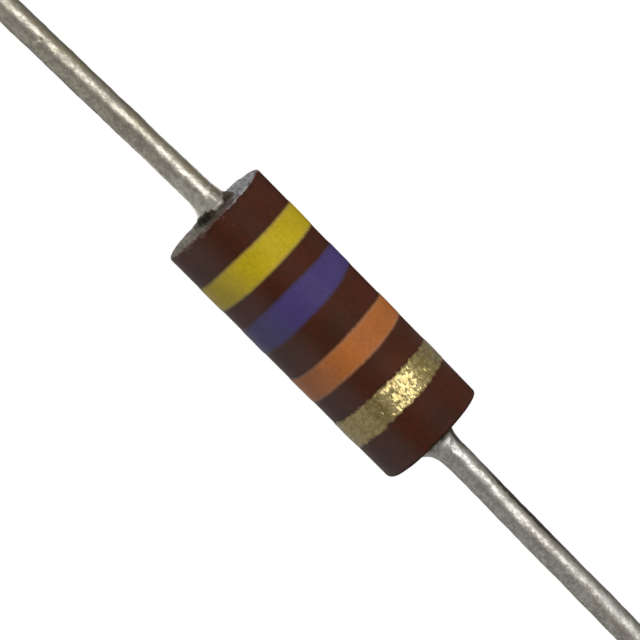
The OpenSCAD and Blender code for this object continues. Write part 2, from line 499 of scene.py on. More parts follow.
# Collars: distance out and thickness of the solder there beyond the wire, in millimetres
COLLAR_PROFILES = {
    "left": (
        (0.0, 0.3), (0.06, 0.275), (0.12, 0.245), (0.17, 0.215), (0.19, 0.19), (0.22, 0.138),
        (0.25, 0.11), (0.31, 0.09), (0.37, 0.075), (0.43, 0.061), (0.5, 0.048), (0.6, 0.033),
        (0.69, 0.02), (0.8, 0.012), (1.4, 0.009), (2.4, 0.0),
    ),
    "right": (
        (0.0, 0.31), (0.08, 0.285), (0.16, 0.255), (0.24, 0.22), (0.284, 0.19), (0.314, 0.16),
        (0.344, 0.14), (0.373, 0.118), (0.433, 0.089), (0.492, 0.068), (0.551, 0.05), (0.61, 0.033),
        (0.67, 0.019), (0.73, 0.01), (0.82, 0.0), (1.1, -0.008), (1.8, -0.01), (2.6, -0.003),
        (3.4, 0.0),
    ),
}
# The same along the top of each collar: a tongue on the left one, a flat shoulder on the right
LEFT_TONGUE = ((0.0, 0.26), (0.1, 0.232), (0.2, 0.188), (0.32, 0.125), (0.45, 0.068), (0.66, 0.0))
RIGHT_SHOULDER = ((0.0, 0.31), (0.14, 0.24), (0.24, 0.125), (0.32, 0.098), (0.55, 0.06),
                  (0.75, 0.012), (0.9, 0.0))
# Each coat's seed, how lopsided its collar is, how ragged and how soft the top of its burnt
# flux is (soft_top is on the upper side), how strong its olive film is, and how much wider
# its painted highlight streak is near the body
COATS = {
    "left": {"seed": 61, "lopsided": 0.3, "jag": 0.022, "soft": 0.03, "soft_top": 0.09,
             "olive": 1.0, "near_spread": 0.0},
    "right": {"seed": 71, "lopsided": 0.62, "jag": 0.03, "soft": 0.15, "soft_top": 0.1,
              "olive": 0.45, "near_spread": 12.0},
}
# How far burnt flux climbs each collar: angle from +Y in degrees, and height in millimetres. The right
# collar's dark foot is partly burnt flux and partly painted shadow where the collar meets the end face.
FLUX_HEIGHTS = {
    "left": (
        (0.0, 0.24), (35.0, 0.23), (55.0, 0.17), (68.0, 0.1), (92.0, 0.09), (103.0, 0.21),
        (150.0, 0.235), (260.0, 0.22), (360.0, 0.24),
    ),
    "right": (
        (0.0, 0.24), (60.0, 0.28), (100.0, 0.27), (125.0, 0.22), (145.0, 0.04), (200.0, 0.02),
        (300.0, 0.2), (360.0, 0.24),
    ),
}
# Strength of the painted highlight streak along each wire: distance out in millimetres, and share
PAINTED_HIGHLIGHT = {
    "left": (
        (0.1, 0.6), (0.35, 1.0), (1.7, 1.0), (1.85, 0.35), (2.1, 0.35), (2.25, 0.8), (2.6, 0.7),
        (2.8, 0.3), (3.2, 0.35), (3.4, 0.1), (4.2, 0.1), (5.0, 0.3), (6.0, 0.1), (7.2, 0.2), (7.5, 0.7),
        (8.1, 0.4), (38.0, 0.3),
    ),
    "right": (
        (0.2, 0.3), (0.35, 0.9), (0.62, 0.6), (0.8, 0.9), (1.5, 0.9), (2.2, 0.5), (3.0, 0.5),
        (3.6, 0.4), (3.9, 0.0), (4.5, 0.0), (5.2, 0.1), (6.0, 0.7), (8.0, 0.7), (38.0, 0.3),
    ),
}
# How dark the painted shade line along the +Y side of each wire is: distance out, and share
SHADE_LINE_SHARES = {
    "left": (
        (0.1, 0.5), (0.3, 0.38), (0.5, 0.1), (1.0, 0.15), (2.0, 0.3), (38.0, 0.3),
    ),
    "right": (
        (0.1, 0.9), (0.5, 0.8), (0.9, 0.35), (1.5, 0.2), (1.9, 0.5), (2.4, 0.95), (4.3, 0.95),
        (5.0, 0.55), (6.0, 0.35), (38.0, 0.35),
    ),
}
# A drop of solder on the left wire: distance out and angle
LEFT_DROP = (7.23, 112.0)
# Lumps and dents of the wires: distance out, angle from +Y, width and height, in millimetres
# and degrees
WIRE_MARKS = {
    "left": (
        (*LEFT_DROP, 0.065, 0.03), (7.18, 87.0, 0.05, -0.022), (2.75, 103.0, 0.05, -0.012),
        (1.95, 98.0, 0.04, -0.01), (3.9, 62.0, 0.06, 0.008), (1.35, 92.0, 0.05, -0.012),
        (0.36, 70.0, 0.09, 0.022), (0.27, 96.0, 0.07, 0.02), (0.48, 108.0, 0.08, -0.014),
        (0.62, 86.0, 0.1, 0.01), (0.24, 52.0, 0.06, 0.018), (0.86, 99.0, 0.08, -0.01),
        (0.22, 76.0, 0.1, 0.03), (1.52, 101.0, 0.06, -0.014),
    ),
    "right": (
        (5.6, 118.0, 0.035, -0.01), (1.15, 80.0, 0.06, 0.008), (0.62, 96.0, 0.05, -0.01),
        (7.0, 100.0, 0.05, 0.006), (0.45, 74.0, 0.08, 0.014), (0.4, 104.0, 0.07, -0.012),
        (0.78, 88.0, 0.1, 0.01), (0.95, 70.0, 0.07, -0.008), (1.32, 98.0, 0.09, 0.007),
        (0.62, 56.0, 0.1, 0.016), (0.75, 104.0, 0.1, 0.014), (1.15, 44.0, 0.28, 0.026),
        (1.75, 42.0, 0.26, 0.022), (0.36, 118.0, 0.09, -0.016), (6.4, 48.0, 0.3, 0.014),
        (7.2, 46.0, 0.3, 0.016), (6.8, 104.0, 0.25, 0.01), (0.3, 72.0, 0.05, -0.014),
        (0.52, 84.0, 0.05, 0.012), (0.4, 94.0, 0.045, -0.016), (0.66, 112.0, 0.06, 0.01),
        (0.85, 60.0, 0.06, 0.009), (0.3, 122.0, 0.05, 0.014), (0.56, 66.0, 0.04, -0.012),
        (0.3, 100.0, 0.04, 0.014), (0.72, 76.0, 0.05, -0.01), (1.02, 82.0, 0.06, 0.008),
        (5.4, 44.0, 0.34, 0.012), (8.2, 46.0, 0.34, 0.014),
    ),
}


def wire_stations(length):
    """Distances out from the end face at which the wire has a ring."""
    near = np.arange(0.0, 1.2, 0.0125)
    shown = np.arange(1.2, 10.0, 0.032)
    far = np.arange(10.0, length - 0.2, 0.11)
    return np.concatenate([near, shown, far])


def collar_thickness(u, angles, side):
    """Solder beyond the wire's own radius, at u out from the end face and round the wire."""
    lean = COATS[side]["lopsided"] * (1.0 - 0.75 * (1.0 - soft_step(u, 0.0, 0.25)))
    uneven = 1.0 + 0.05 * ripple(ring_points(u * 2.0, 0.0, 1.0, angles), 0.5, 53)
    plain = from_table(COLLAR_PROFILES[side], u) * (1.0 - lean * np.cos(angles)) * uneven
    turn = np.degrees(angles)
    if side == "right":
        flat = np.minimum(plain, from_table(RIGHT_SHOULDER, u))
        return plain + bell(turn, 76.0, 24.0) * (flat - plain)
    return np.maximum(plain, from_table(LEFT_TONGUE, u) * bell(turn, 72.0, 26.0))


def burnt_cover(side, stations, angles):
    """How much of the coat burnt flux covers at each point, from 0 to 1."""
    coat = COATS[side]
    turn = np.degrees(angles)
    loop = ring_points(0.0, 0.0, 1.0, angles)
    jag = ripple(loop, 0.13, 51) * 0.6 + ripple(loop, 0.5, 52) * 0.8
    edge = from_table(FLUX_HEIGHTS[side], turn) + coat["jag"] * jag
    soft = np.interp(turn, (50.0, 65.0, 92.0, 102.0),
                     (coat["soft"], coat["soft_top"], coat["soft_top"], coat["soft"]))
    return 1.0 - soft_step(stations[:, None] - edge, -soft, soft)


def coat_relief(wire, side, skin, stations, angles, burnt, settings):
    """Height of the coat's lumps, dents and crust over its plain form."""
    seed = COATS[side]["seed"]
    wide = settings.lump_width
    height = ripple_grid(skin * np.array([0.6, 1.0, 1.0]), wide, seed) * 0.6
    height += ripple_grid(skin, wide * 0.4, seed + 1) * 0.28
    height += ripple_grid(skin, wide * 0.17, seed + 2) * 0.1
    height *= settings.lump_height * (1.0 + 1.2 * np.exp(-stations / 0.45)[:, None])
    for u, angle, width, tall in WIRE_MARKS[side]:
        height += tall * spot(skin, wire.at(u, angle), width)
    if side == "left":
        height -= 0.02 * burnt * soft_step(stations, 0.0, 0.08)[:, None]
    else:
        # Past its collar the right wire is a little oval.
        oval = 0.015 * np.cos(2.0 * (angles - math.radians(122.0)))
        height += oval * soft_step(stations, 1.9, 2.6)[:, None]
    return height


def coat_marks(wire, side, skin, stations, angles):
    """Films, tarnish, painted highlight streak and painted shade line of the coat, each from 0 to 1."""
    coat = COATS[side]
    seed = coat["seed"]
    turn = np.degrees(angles)
    patch = ripple_grid(skin * np.array([0.5, 1.0, 1.0]), 0.5, seed + 3)
    grain = ripple_grid(skin, 0.12, seed + 4)
    olive = np.clip(bell(turn, 38.0, 26.0) * (0.75 + 0.3 * patch + 0.2 * grain), 0.0, 1.0)
    purple = np.clip(bell(turn, 100.0, 16.0) * (0.4 * patch - 0.4 * grain), 0.0, 1.0)

    # Painted highlight: a bright streak laid round the wire where the key light's reflection falls.
    streak = from_table(PAINTED_HIGHLIGHT[side], stations)[:, None]
    middle = 72.0 + 5.0 * ripple(np.stack([stations, 0 * stations, 0 * stations], -1), 0.9, seed + 5)
    near_body = 1.0 - soft_step(stations, 1.0, 1.8)[:, None]
    spread = 12.0 + 5.0 * streak + coat["near_spread"] * near_body
    away = np.abs(turn - middle[:, None]) / spread
    shine = streak * (1.0 - soft_step(away + 0.3 * grain, 0.5, 1.4))
    if side == "left":
        # More painted highlight all round near the body, and on its drop of solder.
        near_end = 1.0 - soft_step(stations, 1.4, 2.0)[:, None]
        shine = np.maximum(shine, 0.8 * near_end * soft_step(turn, 60.0, 90.0))
        drop = np.linalg.norm((skin - wire.at(*LEFT_DROP)) * np.array([0.7, 1.0, 1.0]), axis=-1)
        shine = np.maximum(shine, 0.9 * (1.0 - soft_step(drop, 0.04, 0.075)))

    # The painted shade line widens towards the body. A fainter painted shade line runs about opposite to
    # it.
    off_line = np.abs((turn + (180.0 - SHADE_LINE_ANGLE)) % 360.0 - 180.0)
    off_line = off_line - 24.0 * np.exp(-stations / 0.3)[:, None]
    dirt = from_table(SHADE_LINE_SHARES[side], stations)[:, None]
    dirt = dirt * (1.0 - soft_step(off_line + 2.0 * grain, 20.0, 31.0))
    far_line = 0.3 * (1.0 - soft_step(np.abs(turn - 182.0) + 2.0 * grain, 24.0, 38.0))
    return {"olive": coat["olive"] * olive, "purple": purple, "shine": shine,
            "dirt": np.maximum(dirt, far_line)}


def build_wire(side, settings):
    """Whole lead wire: buried anchor, collar, lumpy solder coat and sheared tip."""
    wire = Wire(side)
    angles = ring_angles(WIRE_SPOKES)
    stations = wire_stations(wire.length)
    buried = [wire.ring(-depth, r, angles) for depth, r in reversed(wire.anchor_profile())]
    for radius in (wire.r, wire.r + collar_thickness(0.0, angles, side)):
        buried.append(wire.ring(-FOOT_DEPTH, radius, angles))
    skin = np.array([
        wire.ring(u, wire.r + collar_thickness(u, angles, side), angles) for u in stations])
    tip = [wire.ring(wire.length - TIP_CHAMFER, wire.r, angles),
           wire.ring(wire.length, wire.r - TIP_CHAMFER, angles)]

    outward = skin - skin.mean(axis=1, keepdims=True)
    outward /= np.linalg.norm(outward, axis=-1, keepdims=True)
    burnt = burnt_cover(side, stations, angles)
    relief = coat_relief(wire, side, skin, stations, angles, burnt, settings)
    skin = skin + outward * relief[..., None]
    marks = {"flux": burnt, **coat_marks(wire, side, skin, stations, angles)}
    for name, values in marks.items():
        # The foot's own two rings carry on the marks of the first ring that shows.
        shown = np.concatenate([values[:1], values[:1], values])
        marks[name] = np.pad(shown, ((len(buried) - 2, len(tip)), (0, 0)))
    rings = np.concatenate([np.array(buried), skin, np.array(tip)])
    return mesh_from_rings(wire.node + "_coat", rings, marks, closed=False)


BAND_SPOKES = 560
# How deep the inner face of the paint is sunk into the jacket
PAINT_DEPTH = 0.012

# Each band's slot and the setting with its colour, how far its edges wander and how ragged and
# wide they are, its seed, its chalk, and the shift, slant and bow of its two edges in millimetres
BAND_LOOKS = {
    "first_digit_band": {
        "slot": "yellow_paint", "colour": "first_digit", "wander": 1.0, "ragged": 0.003, "fade": 1.0,
        "seed": 101, "chalk": 0.14, "start": (0.01, 0.02, 0.04), "end": (-0.035, 0.0, 0.015)},
    "second_digit_band": {
        "slot": "violet_paint", "colour": "second_digit", "wander": 1.5, "ragged": 0.004, "fade": 1.15,
        "seed": 111, "chalk": 0.0, "start": (0.0, -0.02, 0.1), "end": (-0.01, -0.08, -0.07)},
    "multiplier_band": {
        "slot": "orange_paint", "colour": "multiplier", "wander": 1.3, "ragged": 0.004, "fade": 1.0,
        "seed": 121, "chalk": 0.16, "start": (0.02, 0.0, -0.03), "end": (-0.01, -0.03, -0.05)},
    "tolerance_band": {
        "slot": "gold_paint", "colour": "tolerance", "wander": 1.2, "ragged": 0.008, "fade": 1.0,
        "seed": 131, "chalk": 0.0, "start": (-0.025, 0.05, 0.08), "end": (-0.015, -0.06, 0.01)},
}


def build_band(node, settings, look):
    """Painted ring on the jacket's side, with wandering edges that thin out to nothing."""
    low, high = box_mm(node)
    angles = ring_angles(BAND_SPOKES)
    loop = ring_points(0.0, 0.0, 1.0, angles) * Body.side_r(low[0])
    seed = look["seed"]
    fade = settings.edge_fade * look["fade"]

    def edge(x, seed, bend):
        shift, slant, bow = bend
        wander = settings.edge_wave * look["wander"] * ripple(loop, 1.3, seed)
        bent = shift + slant * np.cos(angles) + bow * np.cos(angles) ** 2
        return x + wander + look["ragged"] * ripple(loop, 0.12, seed + 1) + bent

    start = edge(low[0] - fade / 2.0, seed, look["start"])
    end = edge(high[0] + fade / 2.0, seed + 2, look["end"])
    shares = np.concatenate([np.linspace(0.0, 0.12, 9), np.linspace(0.12, 0.88, 29)[1:-1],
                             np.linspace(0.88, 1.0, 9)])
    grid_x = start + (end - start) * shares[:, None]
    under = side_surface(grid_x, angles, bpy.context.scene.resistor_jacket.undulation)
    near = np.minimum(grid_x - start, end - grid_x)
    film = settings.paint * (0.15 + 0.85 * soft_step(near, 0.0, fade))
    grain = 0.0012 * ripple_grid(ring_points(grid_x, 0.0, under, angles), 0.25, seed + 4)
    inner_x, inner_r = grid_x[::-9], under[::-9] - PAINT_DEPTH
    rings = np.concatenate([ring_points(grid_x, 0.0, under + film + grain, angles),
                            ring_points(inner_x, 0.0, inner_r, angles)])
    thickness = np.concatenate([near / max(fade, 1e-6), np.zeros_like(inner_x)])
    return mesh_from_rings(node + "_paint", rings, {"edge": np.clip(thickness, 0.0, 4.0)}, closed=True)


class Net:
    """Nodes of one tree, with a short call for each usual node. A value may be a socket."""

    def __init__(self, tree):
        self.nodes, self.links = tree.nodes, tree.links

    def fill(self, socket, value):
        """Gives a socket its value: another socket, a number, a vector or a colour."""
        if isinstance(value, bpy.types.NodeSocket):
            self.links.new(value, socket)
        elif socket.type == "RGBA":
            socket.default_value = (*value, 1.0)
        else:
            socket.default_value = value

    def add(self, kind, inputs=None, **options):
        """New node with its options and its inputs; gives its outputs."""
        node = self.nodes.new(kind)
        for option, value in options.items():
            setattr(node, option, value)
        for key, value in (inputs or {}).items():
            self.fill(node.inputs[key], value)
        return node.outputs

    def calculate(self, operation, *values):
        """Result of a sum on values."""
        return self.add("ShaderNodeMath", dict(enumerate(values)), operation=operation)[0]

    def product(self, first, *others):
        """Product of values."""
        for other in others:
            first = self.calculate("MULTIPLY", first, other)
        return first

    def vector(self, operation, *values):
        """Vector that a sum on vectors gives."""
        return self.add("ShaderNodeVectorMath", dict(enumerate(values)), operation=operation)[0]

    def ramp(self, value, low, high, start=0.0, end=1.0):
        """Goes smoothly from start to end while a value goes from low to high."""
        inputs = {"Value": value, "From Min": low, "From Max": high, "To Min": start, "To Max": end}
        return self.add("ShaderNodeMapRange", inputs, interpolation_type="SMOOTHSTEP")["Result"]

    def window(self, value, start, full, fade, end, top=1.0):
        """Rises to top from start to full, and falls to nothing again from fade to end."""
        return self.product(self.ramp(value, start, full, 0.0, top),
                            self.ramp(value, fade, end, 1.0, 0.0))

    def mix(self, factor, first, second, blend="MIX"):
        """Mix of two colours."""
        return self.add("ShaderNodeMix", {"Factor": factor, "A": first, "B": second},
                        data_type="RGBA", blend_type=blend)["Result"]

    def times(self, first, second):
        """One colour times another."""
        return self.mix(1.0, first, second, "MULTIPLY")

    def mark(self, name):
        """A float mark that the mesh carries on its points."""
        return self.add("ShaderNodeAttribute", attribute_name=name)["Fac"]

    def marked(self, colour, name, over, low, high, most=1.0):
        """A colour with another over it where a mark lies, from low to high."""
        return self.mix(self.ramp(self.mark(name), low, high, 0.0, most), colour, over)

    def mottle(self, place, low, high, cloud, grain, share, contrast):
        """The shared mottle effect with its own values; gives its outputs."""
        inputs = {"Place": place, "Low Colour": low, "High Colour": high, "Cloud Scale": cloud,
                  "Grain Scale": grain, "Cloud Share": share, "Contrast": contrast}
        return self.add("ShaderNodeGroup", inputs, node_tree=mottle_group())


class Finish(Net):
    """Material with its Principled BSDF, and its place on the piece in millimetres."""

    def __init__(self, name):
        self.material = bpy.data.materials.new(name)
        self.material.use_nodes = True
        super().__init__(self.material.node_tree)
        metres = self.add("ShaderNodeTexCoord")["Object"]
        self.place = self.add("ShaderNodeVectorMath", {0: metres, "Scale": 1.0 / MM},
                              operation="SCALE")[0]
        self.x, self.y, _ = self.add("ShaderNodeSeparateXYZ", {0: self.place})

    def with_painted_sheen(self, colour):
        """A colour under the painted grey sheen along the -Y side, which stands for a reflection of the
        pale surroundings.
        """
        return self.mix(self.ramp(self.y, -1.3, -0.3, 0.16, 0.0), colour, PAINTED_SHEEN)

    def bump(self, height, distance_mm, strength=1.0):
        """Normal of fine relief from a height, in millimetres."""
        inputs = {"Height": height, "Distance": distance_mm * MM, "Strength": strength}
        return self.add("ShaderNodeBump", inputs)["Normal"]

    def finished(self, values):
        """Gives the shader its values, and gives the material."""
        for name, value in values.items():
            self.fill(self.nodes["Principled BSDF"].inputs[name], value)
        return self.material


def mottle_group():
    """Shared effect: clouds and fine grain between two colours, with a mask and a height."""
    name = "surface_mottle"
    if name in bpy.data.node_groups:
        return bpy.data.node_groups[name]
    group = bpy.data.node_groups.new(name, "ShaderNodeTree")
    sockets = (
        ("INPUT", "NodeSocketVector", ("Place",)),
        ("INPUT", "NodeSocketFloat", ("Cloud Scale", "Grain Scale", "Cloud Share", "Contrast")),
        ("INPUT", "NodeSocketColor", ("Low Colour", "High Colour")),
        ("OUTPUT", "NodeSocketColor", ("Colour",)),
        ("OUTPUT", "NodeSocketFloat", ("Mask", "Grain")),
    )
    for way, kind, labels in sockets:
        for label in labels:
            group.interface.new_socket(label, in_out=way, socket_type=kind)
    net = Net(group)
    given = net.add("NodeGroupInput")
    clouds = net.add("ShaderNodeTexNoise", {
        "Vector": given["Place"], "Scale": given["Cloud Scale"], "Detail": 3.0})["Fac"]
    grain = net.add("ShaderNodeTexNoise", {
        "Vector": given["Place"], "Scale": given["Grain Scale"], "Detail": 4.0,
        "Roughness": 0.65})["Fac"]
    blend = net.add("ShaderNodeMix", {
        "Factor": given["Cloud Share"], "A": grain, "B": clouds})["Result"]
    centred = net.calculate("SUBTRACT", blend, 0.5)
    mask = net.add("ShaderNodeMath", {0: centred, 1: given["Contrast"], 2: 0.5},
                   operation="MULTIPLY_ADD", use_clamp=True)[0]
    colour = net.mix(mask, given["Low Colour"], given["High Colour"])
    net.add("NodeGroupOutput", {"Colour": colour, "Mask": mask, "Grain": grain})
    return group


WHITE = (1.0, 1.0, 1.0)
# Grey of the painted sheen along the -Y side
PAINTED_SHEEN = (0.16, 0.16, 0.165)
DARK_CLOUD = (0.01, 0.006, 0.003)
RED_CLOUD = (0.085, 0.023, 0.005)
PALE_SPECK = (0.16, 0.1, 0.075)
EDGE_DARK = (0.02, 0.009, 0.005)
# Painted shade of the right end face
PAINTED_SHADE_END = (0.01, 0.006, 0.004)
CHALK = (0.34, 0.25, 0.17)
# The marks on the end faces are drawn out along Z, as the mould was parted.
END_GRAIN = (1.0, 1.0, 0.13)


def phenolic_material(settings):
    """Satin brown phenolic with red clouds, specks, flux residue, and a grey film on its left end that is
    partly painted reflection, lighter on the +Y half as painted light.
    """
    skin = Finish("moulded_phenolic")
    mottle = skin.mottle(skin.place, settings.colour, settings.colour_red,
                         cloud=0.9, grain=9.0, share=0.45, contrast=6.0)
    grime = skin.mottle(skin.place, (0.84, 0.88, 0.88), (1.16, 1.12, 1.12),
                        cloud=5.0, grain=13.0, share=0.5, contrast=4.5)
    cloud = skin.mark("cloud")
    darker = skin.calculate("MAXIMUM", skin.calculate("MULTIPLY", cloud, -1.0), 0.0)
    redder = skin.calculate("MAXIMUM", cloud, 0.0)
    brown = skin.times(mottle["Colour"], grime["Colour"])
    brown = skin.mix(redder, skin.mix(darker, brown, DARK_CLOUD), RED_CLOUD)
    brown = skin.marked(brown, "speck", PALE_SPECK, 0.3, 0.9, 0.55)

    streaks = skin.mottle(skin.vector("MULTIPLY", skin.place, END_GRAIN), (0.5, 0.48, 0.45), WHITE,
                          cloud=2.4, grain=8.0, share=0.25, contrast=7.0)
    # Painted light and shade: the end film is lighter on the +Y half and darker on the -Y half.
    film = skin.mix(skin.ramp(skin.y, -0.3, 0.9), settings.end_film_shaded, settings.end_film_lit)
    film = skin.times(film, streaks["Colour"])
    at_left = skin.ramp(skin.x, -1.0, 1.0, 1.0, 0.0)
    face_mark = skin.mark("end_face")
    ragged = skin.product(skin.calculate("SUBTRACT", streaks["Mask"], 0.5), 0.35)
    end_face = skin.calculate("ADD", face_mark, ragged)
    covered = skin.product(skin.ramp(end_face, 0.3, 0.75), at_left)
    colour = skin.mix(covered, skin.with_painted_sheen(brown), film)
    # The chips and the line along the left edge are dark, and the whole right end face is darkened as
    # painted shade.
    colour = skin.marked(colour, "rim", EDGE_DARK, 0.0, 0.8, 0.6)
    right_face_shade = skin.calculate("SUBTRACT", end_face, at_left)
    colour = skin.mix(skin.ramp(right_face_shade, 0.15, 0.6, 0.0, 0.9), colour, PAINTED_SHADE_END)
    blotch = skin.mottle(skin.place, (0.55, 0.55, 0.55), (1.5, 1.5, 1.5),
                         cloud=4.0, grain=11.0, share=0.5, contrast=6.0)["Colour"]
    colour = skin.marked(colour, "stain", skin.times(settings.stain, blotch), 0.1, 0.7, 0.9)
    colour = skin.marked(colour, "flux", skin.times(settings.residue, blotch), 0.15, 0.75)
    dull = skin.calculate("MAXIMUM", covered, face_mark)
    return skin.finished({
        "Base Color": colour,
        "Roughness": skin.ramp(mottle["Grain"], 0.3, 0.7,
                               settings.roughness - 0.05, settings.roughness + 0.05),
        "Specular IOR Level": 0.08,
        "Coat Weight": skin.ramp(dull, 0.0, 0.6, 1.0, 0.0),
        "Coat IOR": 1.15,
        "Coat Roughness": 0.5,
        "Normal": skin.bump(mottle["Grain"], 0.004, 0.5),
    })


def solder_material(settings):
    """Dull solder coat: metal with tarnish clouds, films, fine lumps and burnt flux."""
    skin = Finish("solder_coat")
    mottle = skin.mottle(skin.place, settings.colour_dull, settings.colour,
                         cloud=2.6, grain=9.0, share=0.35, contrast=6.0)
    highlight_tone = skin.times(settings.bright, skin.mix(mottle["Mask"], (0.84, 0.84, 0.83), (1.1, 1.1, 1.1)))
    # Painted highlight along each wire.
    colour = skin.marked(mottle["Colour"], "shine", highlight_tone, 0.0, 1.0)
    colour = skin.marked(colour, "olive", settings.olive, 0.15, 0.9, 0.75)
    colour = skin.marked(colour, "purple", settings.purple, 0.1, 0.8, 0.5)
    at_left = skin.ramp(skin.x, -1.0, 1.0, 1.0, 0.0)
    colour = skin.times(colour, skin.mix(at_left, (1.0, 0.985, 0.95), settings.warm))
    # Painted shade: dark lines along each wire's +Y side and, fainter, along its -Y side.
    colour = skin.marked(colour, "dirt", settings.dirt, 0.0, 1.0)
    # Burnt flux; at the right collar's foot it is partly painted shadow.
    flux = skin.mark("flux")
    burnt = skin.times(settings.flux, skin.mix(mottle["Mask"], (0.6, 0.6, 0.6), (2.6, 2.5, 2.4)))
    rough = skin.ramp(mottle["Mask"], 0.0, 1.0, settings.roughness + 0.06, settings.roughness - 0.06)
    # The right wire is duller from about 10 mm out from the middle, and burnt flux is rough.
    rough = skin.calculate("ADD", rough, skin.ramp(skin.x, 9.5, 10.6, 0.0, 0.12))
    rough = skin.calculate("ADD", rough, skin.ramp(flux, 0.2, 0.8, 0.0, 0.35))
    return skin.finished({
        "Base Color": skin.mix(flux, colour, burnt),
        "Metallic": skin.ramp(flux, 0.2, 0.8, 1.0, 0.0),
        "Roughness": rough,
        "Specular IOR Level": 0.08,
        "Normal": skin.bump(mottle["Grain"], 0.008, 0.8),
    })


def paint_material(name, colour, under, chalky):
    """Satin paint that thins along both edges, so that the jacket shows through it."""
    skin = Finish(name)
    mottle = skin.mottle(skin.place, [c * 0.86 for c in colour], [min(1.0, c * 1.14) for c in colour],
                         cloud=1.4, grain=10.0, share=0.4, contrast=4.0)
    edge = skin.mark("edge")
    body = skin.mix(skin.ramp(edge, 0.0, 1.0), under, mottle["Colour"])
    # Thin paint looks chalky just inside its edge.
    body = skin.mix(skin.window(edge, 0.15, 0.7, 0.7, 1.3, chalky), body, CHALK)
    return skin.finished({
        "Base Color": skin.with_painted_sheen(body),
        "Roughness": 0.66,
        "Specular IOR Level": 0.12,
        "Coat Weight": 1.0,
        "Coat IOR": 1.16,
        "Coat Roughness": 0.45,
        "Normal": skin.bump(mottle["Grain"], 0.004, 0.5),
    })


def gold_material(name, colour, under):
    """Gold paint: coarse metal flakes that each lie at their own tilt, in an olive binder."""
    skin = Finish(name)
    flakes_per_mm = 8.5
    stir = skin.add("ShaderNodeTexNoise", {"Vector": skin.place, "Scale": 7.0, "Detail": 1.0})
    bent = skin.vector("MULTIPLY_ADD", stir["Color"], (0.09, 0.09, 0.09), skin.place)
    flake = skin.add("ShaderNodeTexVoronoi", {"Vector": bent, "Scale": flakes_per_mm})
    # Each flake's height is a ramp of its own heading, from its own middle.
    offset = skin.vector("SUBTRACT", bent, flake["Position"])
    heading = skin.vector("SUBTRACT", flake["Color"], (0.5, 0.7, 0.5))
    slope = skin.add("ShaderNodeVectorMath", {0: offset, 1: heading}, operation="DOT_PRODUCT")["Value"]
    height = skin.calculate("ADD", skin.product(slope, 0.42), skin.product(stir["Fac"], 0.03))
    shaded = [c * k for c, k in zip(colour, (0.72, 0.72, 0.62))]
    leaf = skin.mix(skin.ramp(stir["Fac"], 0.36, 0.62), shaded, colour)
    # Painted shade: the flakes' colour darkens where the paint is seen at a shallow angle, standing for
    # flat flakes reflecting less light there.
    facing = skin.add("ShaderNodeLayerWeight", {"Blend": 0.5})["Facing"]
    leaf = skin.times(leaf, skin.mix(skin.ramp(facing, 0.05, 0.28), WHITE, (0.7, 0.675, 0.61)))
    # Painted shade: the paint is darkened in a stripe along the band's -Y side.
    shade_stripe = skin.window(skin.y, -1.2, -0.7, -0.5, -0.2)
    leaf = skin.times(leaf, skin.mix(shade_stripe, WHITE, (0.62, 0.585, 0.54)))
    edge = skin.calculate("ADD", skin.mark("edge"), skin.product(stir["Fac"], 0.8))
    cover = skin.ramp(edge, 0.45, 1.35)
    return skin.finished({
        "Base Color": skin.with_painted_sheen(skin.mix(cover, under, leaf)),
        "Metallic": cover,
        "Roughness": 0.33,
        "Specular IOR Level": 0.1,
        "Normal": skin.bump(height, 1.0),
    })


def carbon_material():
    """Matt black carbon composition."""
    skin = Finish("carbon_slug")
    mottle = skin.mottle(skin.place, (0.008, 0.008, 0.008), (0.02, 0.02, 0.02),
                         cloud=3.0, grain=20.0, share=0.3, contrast=2.5)
    return skin.finished({
        "Base Color": mottle["Colour"],
        "Roughness": 0.8,
        "Normal": skin.bump(mottle["Grain"], 0.01, 0.6),
    })


class RESISTOR_OT_jacket(Operator):
    """Build the moulded jacket and finish the slug inside it"""

    bl_idname = "resistor.jacket"
    bl_label = "Moulded Jacket"

    def execute(self, context):
        settings = context.scene.resistor_jacket
        jacket = build_jacket(settings)
        seat(jacket, "moulded_jacket", phenolic_material(settings))
        core = frame["nodes"]["resistance_core"]
        core.data.materials.clear()
        core.data.materials.append(carbon_material())
        return {"FINISHED"}


class RESISTOR_OT_wires(Operator):
    """Build both lead wires with their anchors and solder collars"""

    bl_idname = "resistor.wires"
    bl_label = "Lead Wires"

    def execute(self, context):
        settings = context.scene.resistor_wires
        coat = solder_material(settings)
        for side in ("left", "right"):
            seat(build_wire(side, settings), side + "_lead", coat)
        return {"FINISHED"}


class RESISTOR_OT_bands(Operator):
    """Paint the four colour code bands"""

    bl_idname = "resistor.bands"
    bl_label = "Colour Bands"

    def execute(self, context):
        settings = context.scene.resistor_bands
        under = context.scene.resistor_jacket.colour
        for node, look in BAND_LOOKS.items():
            slot, colour = look["slot"], getattr(settings, look["colour"])
            if slot == "gold_paint":
                paint = gold_material(slot, colour, under)
            else:
                paint = paint_material(slot, colour, under, look["chalk"])
            seat(build_band(node, settings, look), node, paint)
        return {"FINISHED"}


SENSOR_WIDTH = 36.0
LAMP_DISTANCE = 0.5
FLOOR_REACH = 1.2
# Gap between the body and the floor, in metres
FLOOR_GAP = 0.00002


